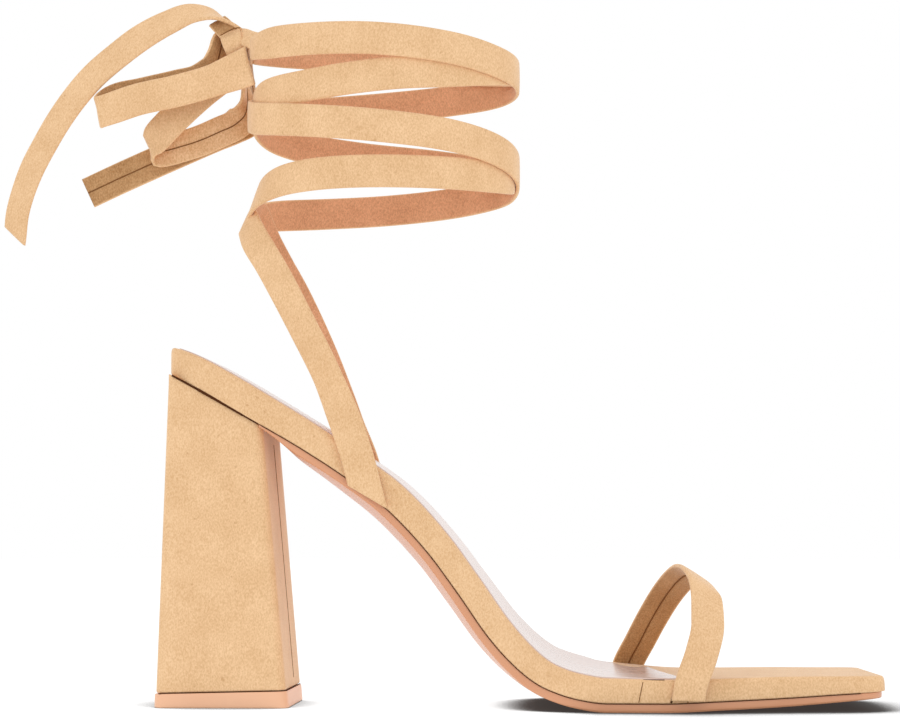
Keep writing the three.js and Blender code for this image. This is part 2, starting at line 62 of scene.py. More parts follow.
def camera_axes(yaw, rise):
    yaw, rise = math.radians(yaw), math.radians(rise)
    ahead = np.array([-math.sin(yaw) * math.cos(rise), math.cos(yaw) * math.cos(rise), math.sin(rise)])
    right = np.array([math.cos(yaw), math.sin(yaw), 0])
    return right, np.cross(right, ahead), ahead


right, up, ahead = camera_axes(CAMERA_YAW, CAMERA_RISE)
camera_data = bpy.data.cameras.new("camera")
camera_data.lens = LENS
camera_data.sensor_width = 36
camera_data.clip_end = 20
camera = bpy.data.objects.new("camera", camera_data)
bpy.context.scene.collection.objects.link(camera)
place = np.eye(4)
place[:3, 0], place[:3, 1], place[:3, 2] = right, up, -ahead
place[:3, 3] = np.array(CAMERA_PLACE) * MM
camera.matrix_world = Matrix(place.tolist())
bpy.context.scene.camera = camera
print("camera", [round(v, 3) for v in camera.location])

# %% [markdown]
# A node tree is easier to read when each node is one line. This helper adds a
# node, sets what is named, and links or fills its inputs. Two more wrap the
# nodes that every finish needs: a blend of two colours and a noise.

# %% Helpers for colours and nodes
def linear(hexadecimal):
    """sRGB hex to the linear colour that shaders want."""
    parts = [int(hexadecimal[i:i + 2], 16) / 255 for i in (1, 3, 5)]
    return [p / 12.92 if p <= 0.04045 else ((p + 0.055) / 1.055) ** 2.4 for p in parts] + [1.0]


def add(tree, kind, inputs=None, **settings):
    """Adds one node. inputs maps a socket's name or number to a value or an output."""
    node = tree.nodes.new(kind)
    for key, value in settings.items():
        setattr(node, key, value)
    for key, value in (inputs or {}).items():
        socket = node.inputs[key]
        if isinstance(value, bpy.types.NodeSocket):
            tree.links.new(value, socket)
        else:
            socket.default_value = value
    return node


def new_material(name):
    material = bpy.data.materials.new(name)
    material.use_nodes = True
    material.node_tree.nodes.clear()
    return material, material.node_tree


def close_material(tree, shader):
    add(tree, "ShaderNodeOutputMaterial", {"Surface": shader.outputs[0]})


def blend(tree, factor, first, second):
    """A colour that goes from the first to the second as the factor grows."""
    mixed = add(tree, "ShaderNodeMix", {"Factor": factor, "A": first, "B": second}, data_type="RGBA")
    return mixed.outputs[2]


def noise(tree, place, size_mm, detail, roughness=0.5):
    """Grey noise whose lumps are about size_mm wide."""
    clouds = add(tree, "ShaderNodeTexNoise", {
        "Vector": place, "Scale": 1 / (size_mm * MM), "Detail": detail, "Roughness": roughness})
    return clouds.outputs["Fac"]


# %% [markdown]
# The shoe stands on a white paper sheet that the picture shows as pure white,
# with a dark patch only where the sole shuts out the sky. A lit white floor
# would need a strong lamp that burns out the shoe. So the sheet glows by itself,
# as a light table does, and ambient occlusion turns the glow down near the
# shoe. The sheet is brightened at the heel and under the arch, where the
# photograph shows hardly any shadow. Sky light and one wide lamp do the rest.

# %% White sheet with painted glow and shadow, and soft light
SHADOW_REACH = 34.0
HEEL_TO_ARCH = (25.0, 60.0)
HEEL_BRIGHTENED, ARCH_BRIGHTENED = 0.24, 0.6
ARCH_TO_BALL = (78.0, 112.0)
SKY_SEEN = (0.62, 0.965)
GLOW = (0.03, 1.02)
floor_material, tree = new_material("white paper sheet")
# The sheet's glow is painted light. Ambient occlusion dims it into a painted shadow near the shoe, and
# by_the_heel and by_the_arch paint it brighter at the heel and under the arch.
open_sky = add(tree, "ShaderNodeAmbientOcclusion", {"Distance": SHADOW_REACH * MM}, samples=12)
sheet_place = add(tree, "ShaderNodeSeparateXYZ", {0: add(tree, "ShaderNodeTexCoord").outputs["Object"]})
by_the_heel = add(tree, "ShaderNodeMapRange", {
    "Value": sheet_place.outputs["X"], "From Min": HEEL_TO_ARCH[0] * MM, "From Max": HEEL_TO_ARCH[1] * MM,
    "To Min": HEEL_BRIGHTENED, "To Max": ARCH_BRIGHTENED})
by_the_arch = add(tree, "ShaderNodeMapRange", {
    "Value": sheet_place.outputs["X"], "From Min": ARCH_TO_BALL[0] * MM, "From Max": ARCH_TO_BALL[1] * MM,
    "To Min": 1, "To Max": 0})
brightness = add(tree, "ShaderNodeMath", {
    0: by_the_heel.outputs[0], 1: by_the_arch.outputs[0], 2: open_sky.outputs["AO"]},
    operation="MULTIPLY_ADD")
glow = add(tree, "ShaderNodeMapRange", {
    "Value": brightness.outputs[0], "From Min": SKY_SEEN[0], "From Max": SKY_SEEN[1],
    "To Min": GLOW[0], "To Max": GLOW[1]}, interpolation_type="SMOOTHSTEP")
lit = add(tree, "ShaderNodeEmission", {"Strength": glow.outputs[0]})
paper = add(tree, "ShaderNodeBsdfDiffuse", {"Color": (0.08, 0.08, 0.08, 1)})
close_material(tree, add(tree, "ShaderNodeAddShader", {0: paper.outputs[0], 1: lit.outputs[0]}))
floor_mesh = bpy.data.meshes.new("floor")
floor_mesh.from_pydata([(-4, -3, 0), (4, -3, 0), (4, 5, 0), (-4, 5, 0)], [], [(0, 1, 2, 3)])
floor_mesh.materials.append(floor_material)
floor = bpy.data.objects.new("floor", floor_mesh)
bpy.context.scene.collection.objects.link(floor)

world = bpy.data.worlds.new("white room")
world.use_nodes = True
world.node_tree.nodes["Background"].inputs["Color"].default_value = (1, 1, 1, 1)
world.node_tree.nodes["Background"].inputs["Strength"].default_value = 1.0
bpy.context.scene.world = world
bpy.context.scene.view_settings.view_transform = "Standard"

top_light = bpy.data.lights.new("large overhead softbox", "SUN")
top_light.angle = math.radians(40)
top_light.energy = 0.35
lamp = bpy.data.objects.new("large overhead softbox", top_light)
bpy.context.scene.collection.objects.link(lamp)
lamp.rotation_euler = (math.radians(-32), math.radians(8), 0)
print("sheet shaded within", SHADOW_REACH, "mm of the shoe")

# %% [markdown]
# Imitation suede is a brushed polyester cloth. Up close the eye sees a fine
# salt-and-pepper nap, a few dark flecks where the pile parts, soft blotches
# where it has been stroked, and a pale bloom at grazing angles. Noise at those
# sizes, read from Object coordinates, gives all of it without a picture or an
# unwrap. The real pile is too fine to show, so its grain is drawn coarser.
# The ties show a warmer backing cloth inside, which an attribute on their mesh
# picks out.

# %% Suede and its backing
NAP_GRAIN = 0.42
NAP_FLECK = 1.9
NAP_BLOTCH = 11.0
GRAIN_SHARE = 0.72
FLECK_COLOUR = "#A8713C"


def suede_material(name, face, shade, back, back_shade):
    material, tree = new_material(name)
    place = add(tree, "ShaderNodeTexCoord").outputs["Object"]
    stretched = add(tree, "ShaderNodeMapping", {"Vector": place, "Scale": (1.0, 1.0, 0.62)})
    grain = noise(tree, stretched.outputs[0], NAP_GRAIN, 3.0, 0.65)
    blotch = noise(tree, place, NAP_BLOTCH, 3.0, 0.55)
    fleck = noise(tree, place, NAP_FLECK, 2.0)
    speckle = add(tree, "ShaderNodeMapRange", {"Value": grain, "From Min": 0.36, "From Max": 0.64})
    stroke = add(tree, "ShaderNodeMapRange", {"Value": blotch, "From Min": 0.35, "From Max": 0.65})
    of_grain = add(tree, "ShaderNodeMath", {0: speckle.outputs[0], 1: GRAIN_SHARE}, operation="MULTIPLY")
    amount = add(tree, "ShaderNodeMath", {
        0: stroke.outputs[0], 1: 1 - GRAIN_SHARE, 2: of_grain.outputs[0]}, operation="MULTIPLY_ADD")
    front = blend(tree, amount.outputs[0], linear(shade), linear(face))
    inside = blend(tree, amount.outputs[0], linear(back_shade), linear(back))
    side = add(tree, "ShaderNodeAttribute", attribute_name="back")
    cloth = blend(tree, side.outputs["Fac"], front, inside)
    dark = add(tree, "ShaderNodeMapRange", {
        "Value": fleck, "From Min": 0.68, "From Max": 0.8, "To Max": 0.4})
    coloured = blend(tree, dark.outputs[0], cloth, linear(FLECK_COLOUR))
    rough = add(tree, "ShaderNodeMapRange", {"Value": grain, "To Min": 0.82, "To Max": 1.0})
    bump = add(tree, "ShaderNodeBump", {"Height": grain, "Strength": 0.35, "Distance": 0.35 * MM})
    shader = add(tree, "ShaderNodeBsdfPrincipled", {
        "Base Color": coloured, "Roughness": rough.outputs[0], "Normal": bump.outputs[0],
        "IOR": 1.45, "Specular IOR Level": 0.2, "Sheen Weight": 0.6, "Sheen Roughness": 0.3,
        "Sheen Tint": linear("#F6EADF")})
    close_material(tree, shader)
    return material


TAN = ("#F6CFA3", "#DAAF80")
suede = suede_material("tan brushed microfibre suede", *TAN, "#D3A87A", "#A87C50")
# A copy of the suede whose back is painted lighter: painted light on the back of the lower loop.
suede_back_painted_lighter = suede_material("tan suede, back painted lighter", *TAN, "#F4CCA2", "#D0A070")
tie_suede = suede_material("tan suede with salmon backing cloth", *TAN, "#EFB58C", "#C68F69")
print("suede grain", NAP_GRAIN, "mm")

# %% [markdown]
# A turned strap is a strip whose two long edges are folded to its back and
# meet in a centre seam. So its section is a thin bar with round edges and a
# small groove behind. A curve with a bevel would be quicker, but it twists by a
# rule of its own. Skinning the section along a line of frames says at each place
# which way the face looks.

# %% Helpers for lines and ribbons
def eased(keys, values, at):
    """Smooth values of a table that stay level where two rows are level."""
    keys, values = np.array(keys, float), np.array(values, float)
    at = np.clip(at, keys[0], keys[-1])
    rate = np.diff(values) / np.diff(keys)
    before = np.concatenate([rate[:1], rate])
    after = np.concatenate([rate, rate[-1:]])
    least = 3 * np.minimum(abs(before), abs(after))
    slope = np.where(before * after <= 0, 0, np.sign(before) * np.minimum(abs(before + after) / 2, least))
    i = np.clip(np.searchsorted(keys, at, side="right") - 1, 0, len(keys) - 2)
    span = keys[i + 1] - keys[i]
    t = (at - keys[i]) / span
    rest = t * t * (3 - 2 * t)
    bend = slope[i] * span * t * (1 - t) ** 2 + slope[i + 1] * span * t * t * (t - 1)
    return values[i] * (1 - rest) + values[i + 1] * rest + bend


def flowing(points, step):
    """Points on a smooth curve through the rows of points, about a step apart."""
    points = np.array(points, float)
    reach = np.linalg.norm(np.diff(points[:, :3], axis=0), axis=1)
    keys = np.concatenate([[0], np.cumsum(reach)])
    rate = np.diff(points, axis=0) / reach[:, None]
    slope = np.empty_like(points)
    slope[0], slope[-1] = rate[0], rate[-1]
    mean = reach[:-1, None] + reach[1:, None]
    slope[1:-1] = (rate[:-1] * reach[1:, None] + rate[1:] * reach[:-1, None]) / mean
    at = np.linspace(0, keys[-1], int(round(keys[-1] / step)) + 1)
    i = np.clip(np.searchsorted(keys, at, side="right") - 1, 0, len(reach) - 1)
    span = reach[i][:, None]
    t = ((at - keys[i]) / reach[i])[:, None]
    rest = t * t * (3 - 2 * t)
    bend = slope[i] * span * t * (1 - t) ** 2 + slope[i + 1] * span * t * t * (t - 1)
    return points[i] * (1 - rest) + points[i + 1] * rest + bend


def unit(vectors):
    return vectors / np.linalg.norm(vectors, axis=1)[:, None]


def frames(middles, outs):
    """The way ahead, across and out at each point of a ribbon."""
    heading = unit(np.gradient(middles, axis=0))
    across = unit(np.cross(outs, heading))
    return heading, across, np.cross(heading, across)


def new_object(name, points_mm, faces, material, back=None):
    """A smooth mesh from points in mm. back says which points lie on a strap's back."""
    mesh = bpy.data.meshes.new(name)
    mesh.from_pydata((np.array(points_mm) * MM).tolist(), [], faces)
    if back is not None:
        mesh.attributes.new("back", "FLOAT", "POINT").data.foreach_set("value", np.array(back, np.float32))
    mesh.validate()
    mesh.polygons.foreach_set("use_smooth", [True] * len(mesh.polygons))
    mesh.materials.append(material)
    made = bpy.data.objects.new(name, mesh)
    bpy.context.scene.collection.objects.link(made)
    return made


def skin_faces(count, size):
    """Quads between rings of equally many points, with a fan at each end."""
    faces = []
    for i in range(count - 1):
        for j in range(size):
            k = (j + 1) % size
            faces.append((i * size + j, i * size + k, (i + 1) * size + k, (i + 1) * size + j))
    last_ring = (count - 1) * size
    faces.append(tuple(reversed(range(size))))
    faces.append(tuple(range(last_ring, last_ring + size)))
    return faces


def outward(made):
    """Turns a closed piece's faces out if its volume comes out negative."""
    mesh = made.data
    mesh.calc_loop_triangles()
    points = np.array([v.co for v in mesh.vertices])
    corners = np.array([t.vertices for t in mesh.loop_triangles])
    a, b, c = (points[corners[:, k]] for k in range(3))
    if (a * np.cross(b, c)).sum() < 0:
        mesh.flip_normals()
    return made


SEAM_GROOVE = 0.28
CUT_REACH = 12.0


def ribbon_section(width, thickness):
    """Places across and through a strap, with 1 where it is the back."""
    half, edge = width / 2, thickness / 2
    rows = []
    for a in np.linspace(-1, 1, 9):
        rows.append((a * (half - edge), edge + 0.12 * (1 - a * a), 0))
    for angle in (65, 35, 0, -35, -65):
        t = math.radians(angle)
        rows.append((half - edge + edge * math.cos(t), edge * math.sin(t), 0.0 if angle > -60 else 0.7))
    groove = 0.7
    for a in (half - edge, half * 0.5, groove, 0, -groove, -half * 0.5, -(half - edge)):
        rows.append((a, -edge + (SEAM_GROOVE if a == 0 else 0), 1))
    for angle in (-115, -145, 180, 145, 115):
        t = math.radians(angle)
        on_back = 0.7 if angle == -115 else 0.0
        rows.append((-(half - edge) + edge * math.cos(t), edge * math.sin(t), on_back))
    return np.array(rows)


def ribbon(name, middles, outs, width, thickness, material, narrow=None, cut=(0, 0), far_slant=0.0):
    """A turned strap along middles. narrow scales its width. cut slants its first end: how
    far that is moved along, and by how much per mm across. far_slant slants the other."""
    heading, across, out = frames(middles, outs)
    section = ribbon_section(width, thickness)
    narrow = np.ones(len(middles)) if narrow is None else narrow
    sideways = section[None, :, 0] * narrow[:, None]
    points = (middles[:, None, :] + across[:, None, :] * sideways[:, :, None]
              + out[:, None, :] * section[None, :, 1, None])
    size = len(section)
    along = np.concatenate([[0], np.cumsum(np.linalg.norm(np.diff(middles, axis=0), axis=1))])
    moved = (cut[0] + cut[1] * sideways) * np.clip(1 - along / CUT_REACH, 0, 1)[:, None]
    moved = moved + far_slant * sideways * np.clip(1 - (along[-1] - along) / CUT_REACH, 0, 1)[:, None]
    points = points + heading[:, None, :] * moved[:, :, None]
    return outward(new_object(name, points.reshape(-1, 3), skin_faces(len(middles), size), material,
                              back=np.tile(section[:, 2], len(middles))))


# %% [markdown]
# The bow is free cloth, so its two loops and two tails are cords that leave
# the knot. Each route is a handful of chosen points: where the middle of the
# strap is, and which way its suede face looks, as a turn from the inner side
# of the foot towards the heel and a nod upwards. A cloth simulation would fall
# in folds of its own, and not in those of the photograph.

# %% Bow: two tails and two loops
BOW_WIDTH = 9.8
BOW_THICKNESS = 1.2
BOW_STEP = 1.2
TAIL_LONG = [
    (2.6, -0.6, 206.9, 0, 88), (0.6, -1, 208.3, 0, 86), (-1.8, -1.5, 209.7, 0, 82),
    (-4.4, -1.9, 211, 0, 76), (-8.2, -2.1, 212.2, 0, 58), (-12.6, -2.5, 212.2, 0, 44),
    (-19.8, -3, 209.3, 0, 33), (-27.8, -3, 204.9, 0, 26), (-35.5, -2.6, 199.3, 8, 22),
    (-43.2, -2, 192.8, 14, 18), (-49.1, -1, 186.3, 20, 14), (-54.2, 0, 179.4, 25, 9),
    (-58.8, 1, 171.9, 29, 4), (-62.5, 1.4, 164.9, 31, 0), (-65.2, 1.6, 157.9, 33, 0),
    (-67, 1.6, 151.2, 34, 0), (-67.8, 1.6, 143.9, 35, 0)]
LOOP_UPPER = [
    (-1.4, 1.6, 206.2, 120, 20), (-3.6, 0.4, 203.6, 124, 0), (-4.4, -0.2, 199.8, 128, 0),
    (-5.6, -0.6, 195.6, 150, 0), (-10.4, -0.6, 191.9, 176, 0), (-17, -0.6, 190.2, 180, 0),
    (-28.6, -0.6, 187.6, 180, 0), (-36.5, -1, 185.6, 172, 0), (-39.6, -2.2, 183, 130, -8),
    (-40.7, -4, 181.5, 90, -12), (-40.2, -5.7, 181.3, 50, -8), (-37, -6.6, 182.1, 5, 0),
    (-28.6, -6.9, 184.8, 0, 0), (-16.9, -7, 187.3, 0, 0), (-4.7, -7.4, 190.6, 0, 0), (0, -8, 192.3, 6, 0),
    (4, -8.8, 193.7, 16, 0), (6.6, -10, 194.6, 30, 0)]
LOOP_LOWER = [
    (-1.2, 4.2, 195.5, 0, 0), (-4, 4, 193.2, 0, 0), (-8.9, 3.2, 189.2, 0, 0), (-15.1, 2.6, 183.6, 0, 0),
    (-20.8, 2.6, 178, 0, 0), (-24.2, 3, 174.2, 25, -15), (-26, 4.6, 171.4, 90, -25),
    (-24.6, 6.2, 170.4, 150, -15), (-21.5, 7, 170.9, 175, 0), (-17.3, 7, 172, 180, 0),
    (-11.4, 7.4, 173.9, 180, 0), (-4.9, 8, 176.8, 180, 0), (0, 8.8, 179.3, 178, 0), (2.4, 9.2, 182, 150, 0),
    (3.2, 8.6, 186, 112, 0), (3.1, 7.2, 190, 94, 0), (2.8, 5.6, 194, 90, 0), (2.4, 4.4, 197.5, 90, 0)]
TAIL_SHORT = [
    (2.6, 6.4, 204, 90, 30), (2.8, 11, 202.4, 90, 20), (3.1, 14.8, 199, 91, 0), (3.3, 17, 194.4, 93, 0),
    (3.8, 17.8, 189.6, 100, 0), (4.2, 17.6, 185.4, 122, 0), (3, 16.4, 181.6, 156, 0),
    (-1, 14, 178.8, 176, 0), (-7, 12.4, 176.1, 180, 0), (-16.4, 11.5, 171.9, 180, 0),
    (-26.7, 11, 167.3, 180, 0), (-36.8, 11, 162.8, 180, 0), (-46.7, 11, 158.2, 180, 0)]


def facing(turn, nod):
    """The ways that a strap's face looks, from its turns and nods in degrees."""
    turn, nod = np.radians(turn), np.radians(nod)
    return np.stack([-np.sin(turn) * np.cos(nod), -np.cos(turn) * np.cos(nod), np.sin(nod)], axis=1)


seam_lines = []


def back_line(middles, outs, depth):
    """The middle of a ribbon's back, where its centre seam runs."""
    out = frames(middles, outs)[2]
    return middles - out * depth


def bow_piece(name, route, narrow=None, material=suede, far_slant=0.0):
    """narrow is a table of share along and share of the width."""
    rows = flowing(route, BOW_STEP)
    middles, outs = rows[:, :3], facing(rows[:, 3], rows[:, 4])
    if narrow is not None:
        narrow = eased(*np.array(narrow, float).T, np.linspace(0, 1, len(rows)))
    made = ribbon(name, middles, outs, BOW_WIDTH, BOW_THICKNESS, material, narrow, far_slant=far_slant)
    seam_lines.append(("centre_seam_" + name, back_line(middles, outs, (BOW_THICKNESS - SEAM_GROOVE) / 2)))
    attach(made, "root")
    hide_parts(name)


TAIL_SLANT = 0.6
PINCHED_AT_KNOT = [(0, 0.55), (0.03, 0.7), (0.09, 1), (1, 1)]
SPREAD_AT_END = [(0, 0.75), (0.1, 0.95), (0.2, 1), (0.86, 1.03), (0.96, 1.22), (1, 1.3)]
bow_piece("tail_long", TAIL_LONG, narrow=PINCHED_AT_KNOT, far_slant=TAIL_SLANT)
bow_piece("tail_short", TAIL_SHORT)
bow_piece("bow_loop_upper", LOOP_UPPER, narrow=SPREAD_AT_END)
# The lower loop's back is painted lighter, as painted light.
bow_piece("bow_loop_lower", LOOP_LOWER, material=suede_back_painted_lighter)

# %% [markdown]
# The sole sheets all follow the last: a long S from the raised seat down to the
# ball and on to the toe. One table of the last gives every sheet its place,
# width and thickness at a share of the length, so that they nest.

# %% The last
SOLE_LENGTH = 212.5
SEAT_RISE = 96.9
SEAT_BACK = -16.0
BALL_HALF = 39.0
RAND = 7.7
OUTSOLE = 2.4
FIT_GAP = 0.3
TOE_SETBACK = 3.0
SEAT_UPRIGHT = 12.0
BANK_HEIGHT = 2.0
BANK_PLACE = 104.0
BANK_REACH = 24.0
END_SLANT_REACH = 36.0
LAST_COLUMNS = ("along", "lift", "inner", "outer", "rand", "under", "crown")
LAST = np.array([
    (0, 1.002, 0.6, 0.6, 1.06, 0.9, 0), (0.014, 0.986, 0.615, 0.615, 1.13, 0.9, 0),
    (0.075, 0.912, 0.64, 0.64, 1.16, 0.9, 0), (0.127, 0.847, 0.645, 0.645, 1.13, 0.85, 0.2),
    (0.188, 0.769, 0.63, 0.64, 1.08, 0.8, 0.7), (0.253, 0.676, 0.615, 0.625, 1.04, 0.8, 1.1),
    (0.305, 0.59, 0.61, 0.63, 1.06, 0.8, 1.3), (0.365, 0.453, 0.62, 0.665, 1.02, 0.8, 1.35),
    (0.409, 0.325, 0.66, 0.725, 1, 0.85, 1.3), (0.452, 0.193, 0.73, 0.81, 1, 0.9, 1.15),
    (0.487, 0.11, 0.8, 0.88, 0.98, 0.95, 0.9), (0.518, 0.057, 0.865, 0.935, 0.96, 1, 0.55),
    (0.55, 0.026, 0.92, 0.975, 0.95, 1, 0.2), (0.58, 0.009, 0.96, 1, 0.95, 1, 0),
    (0.615, 0, 0.99, 0.995, 0.94, 1, 0), (0.69, 0, 0.995, 0.95, 0.89, 1, 0),
    (0.78, 0.007, 0.93, 0.85, 0.85, 0.98, 0), (0.86, 0.015, 0.855, 0.755, 0.8, 0.95, 0),
    (0.93, 0.0245, 0.81, 0.7, 0.69, 0.84, 0), (1, 0.034, 0.785, 0.67, 0.58, 0.65, 0)])


def gentle(t):
    """A smooth step from 0 to 1."""
    t = np.clip(t, 0, 1)
    return t * t * (3 - 2 * t)


def last_at(x):
    """The last at places x: underside height, its normal, half widths and thicknesses."""
    share = (np.asarray(x, float) - SEAT_BACK) / SOLE_LENGTH
    column = {name: eased(LAST[:, 0], LAST[:, k], share) for k, name in enumerate(LAST_COLUMNS) if k}
    nudge = 0.004
    low = np.clip(share - nudge, 0, 1 - nudge)
    high = np.clip(share + nudge, nudge, 1)
    rise = SEAT_RISE * (eased(LAST[:, 0], LAST[:, 1], high) - eased(LAST[:, 0], LAST[:, 1], low))
    heading = unit(np.stack([(high - low) * SOLE_LENGTH, rise], axis=1))
    upright = gentle(share * SOLE_LENGTH / SEAT_UPRIGHT)
    heading = unit(np.stack([heading[:, 0], heading[:, 1] * upright], axis=1))
    return {
        "x": np.asarray(x, float), "z": OUTSOLE + FIT_GAP + SEAT_RISE * column["lift"],
        "normal_x": -heading[:, 1], "normal_z": heading[:, 0],
        "inner": column["inner"] * BALL_HALF, "outer": column["outer"] * BALL_HALF,
        "rand": column["rand"] * RAND, "under": column["under"] * OUTSOLE,
        "crown": column["crown"] * OUTSOLE, "share": share}


def corner_pull(distance, radius):
    """How far a round corner draws an edge in, at a distance from the end."""
    near = np.clip(radius - distance, 0, radius)
    return radius - np.sqrt(radius ** 2 - near ** 2)


def places_along(start, end, start_radius, end_radius, step=1.6):
    """Places along a sheet, closer together at its rounded ends."""
    bends = np.array([0, 0.004, 0.015, 0.035, 0.06, 0.09, 0.13, 0.18, 0.25, 0.33, 0.42, 0.53, 0.65,
                      0.78, 0.9])
    middle = np.arange(start + start_radius, end - end_radius, step)
    return np.concatenate([start + bends * start_radius, middle, (end - bends * end_radius)[::-1]])


def sole_section(edge_top, edge_low, across=16):
    """A sheet's section as rows of: which face or edge, share across, and on a rounded
    edge how far in and how far down, as shares of its radius."""
    turns = [math.radians(angle) for angle in (0, 15, 30, 45, 60, 75)]
    rounding = [(1 - math.cos(t), 1 - math.sin(t)) for t in turns]
    rows = [("top", share, 0, 0) for share in np.linspace(0, 1, across)]
    rows += [("top_edge", 1, inward, drop) for inward, drop in rounding[::-1]]
    rows += [("low_edge", 1, inward, drop) for inward, drop in rounding]
    rows += [("low", share, 0, 0) for share in np.linspace(1, 0, across)]
    rows += [("low_edge", 0, inward, drop) for inward, drop in rounding[::-1]]
    rows += [("top_edge", 0, inward, drop) for inward, drop in rounding]
    return rows


def sole_piece(name, x, start_radius, end_radius, inset, top, low, edge_top, edge_low, material,
               crowned=None, round_ends=(True, True), end_slant=0.0):
    """A sheet of the sole between two offsets from the last, with rounded edges. Its upper
    side banks up at the outer edge of the ball. end_slant sets the outer front corner back."""
    s = last_at(x)
    start_gap, end_gap = x - x[0], x[-1] - x
    pull = corner_pull(start_gap, start_radius) + corner_pull(end_gap, end_radius)
    top_value, low_value = top(s), low(s)
    for asked, gap in zip(round_ends, (start_gap, end_gap)):
        if asked:
            top_value = top_value - corner_pull(gap, edge_top)
            low_value = low_value + corner_pull(gap, edge_low)
    setback = TOE_SETBACK * gentle((s["share"] - 0.7) / 0.3)
    inset = inset + pull
    left = -(s["inner"] - inset)
    width = s["inner"] + s["outer"] - 2 * inset
    bank = BANK_HEIGHT * np.exp(-((s["x"] - BANK_PLACE) / BANK_REACH) ** 2)
    columns = []
    for kind, share, inward, drop in sole_section(edge_top, edge_low):
        edge = edge_top if kind.startswith("top") else edge_low
        if kind.endswith("edge"):
            y = left + share * width + (edge * inward if share == 0 else -edge * inward)
        else:
            y = left + edge + share * (width - 2 * edge)
        across_share = (y - left) / width
        offset = top_value if kind.startswith("top") else low_value
        if kind == "top_edge":
            offset = offset - edge * drop
        if kind == "low_edge":
            offset = offset + edge * drop
        if kind.startswith("top"):
            offset = offset + bank * np.clip(across_share, 0, 1) ** 4
        if crowned is not None and kind.startswith("low"):
            offset = offset - crowned(s) * np.sin(np.pi * np.clip(across_share, 0, 1))
        slant = -setback * (y + s["inner"]) / (s["inner"] + s["outer"])
        slant = slant - end_slant * across_share * gentle(1 - end_gap / END_SLANT_REACH)
        columns.append(np.stack([s["x"] + slant + s["normal_x"] * offset, y,
                                 s["z"] + s["normal_z"] * offset], axis=1))
    points = np.stack(columns, axis=1)
    made = outward(new_object(name, points.reshape(-1, 3), skin_faces(len(x), len(columns)), material))
    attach(made, "root")
    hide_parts(name)
    print(name, len(made.data.vertices), "points")


# %% [markdown]
# The footbed is board and cork wrapped in the same suede. Its wrapped side is
# the rand that the photograph shows as a narrow band from heel to toe, with a
# soft upper edge where the cloth turns over. A bevel modifier could round that
# edge. Here the section has it already, so it keeps its size where the sheet
# bends.

# %% Footbed
SEAT_CORNER = 7.0
TOE_CORNER = 7.0
TOE_END = SEAT_BACK + SOLE_LENGTH
sole_piece(
    "footbed", places_along(SEAT_BACK, TOE_END, SEAT_CORNER, TOE_CORNER), SEAT_CORNER, TOE_CORNER, 0,
    top=lambda s: s["rand"], low=lambda s: 0 * s["x"], edge_top=1.5, edge_low=0.5,
    material=suede)

# %% [markdown]
# The sock is thin coated leather, pale blush and glossy, glued on the footbed
# up to just behind the toe strap. A clear coat over a smooth base gives the
# long soft reflections, and a very fine grain keeps it from looking like glass.

# %% Sock
def coated_leather(name, colour, deep):
    material, tree = new_material(name)
    place = add(tree, "ShaderNodeTexCoord").outputs["Object"]
    pebble = add(tree, "ShaderNodeTexVoronoi", {"Vector": place, "Scale": 1 / (0.9 * MM)})
    cloud = noise(tree, place, 18, 2.0)
    rough = add(tree, "ShaderNodeMapRange", {"Value": cloud, "To Min": 0.2, "To Max": 0.36})
    bump = add(tree, "ShaderNodeBump", {
        "Height": pebble.outputs["Distance"], "Strength": 0.03, "Distance": 0.03 * MM})
    close_material(tree, add(tree, "ShaderNodeBsdfPrincipled", {
        "Base Color": blend(tree, cloud, linear(deep), linear(colour)),
        "Roughness": rough.outputs[0], "Normal": bump.outputs[0],
        "IOR": 1.5, "Coat Weight": 0.35, "Coat Roughness": 0.15}))
    return material


sock_leather = coated_leather("blush coated leather", "#DCC8C0", "#D2BAB1")
SOCK_INSET = 1.9
SOCK_END = 137.0
SOCK_FRONT_CORNER = 9.0
SOCK_SLANT = 8.5
sole_piece(
    "insole_sock", places_along(SEAT_BACK + SOCK_INSET, SOCK_END, SEAT_CORNER, SOCK_FRONT_CORNER),
    SEAT_CORNER, SOCK_FRONT_CORNER, SOCK_INSET,
    top=lambda s: s["rand"] + 0.35, low=lambda s: s["rand"] - 0.3, edge_top=0.3, edge_low=0.1,
    material=sock_leather, end_slant=SOCK_SLANT)

# %% [markdown]
# The outsole is a thin moulded sheet, satin and pink-tan, fuller in the middle
# of the waist. It ends against the heel's breast. A solidify modifier would make
# it evenly thick, so it is built from the last's table as the footbed is.

# %% Outsole
def moulded_sheet(name, colour, deep, roughness, grain_mm, coat):
    material, tree = new_material(name)
    place = add(tree, "ShaderNodeTexCoord").outputs["Object"]
    grain = noise(tree, place, grain_mm, 3.0)
    cloud = noise(tree, place, 22, 2.0)
    rough = add(tree, "ShaderNodeMapRange", {
        "Value": grain, "To Min": roughness - 0.08, "To Max": roughness + 0.1})
    bump = add(tree, "ShaderNodeBump", {"Height": grain, "Strength": 0.05, "Distance": 0.04 * MM})
    close_material(tree, add(tree, "ShaderNodeBsdfPrincipled", {
        "Base Color": blend(tree, cloud, linear(deep), linear(colour)),
        "Roughness": rough.outputs[0], "Normal": bump.outputs[0],
        "IOR": 1.5, "Coat Weight": coat, "Coat Roughness": 0.25}))
    return material


sole_sheet = moulded_sheet("satin pink-tan sole sheet", "#E0A27A", "#D4926A", roughness=0.36, grain_mm=0.8,
                           coat=0.25)
HEEL_BREAST = 11.2
OUTSOLE_TAPER = 14.0


def skived(x):
    """The sheet is shaved thin where it slips in at the heel."""
    return 0.25 + 0.75 * gentle((x - HEEL_BREAST) / OUTSOLE_TAPER)


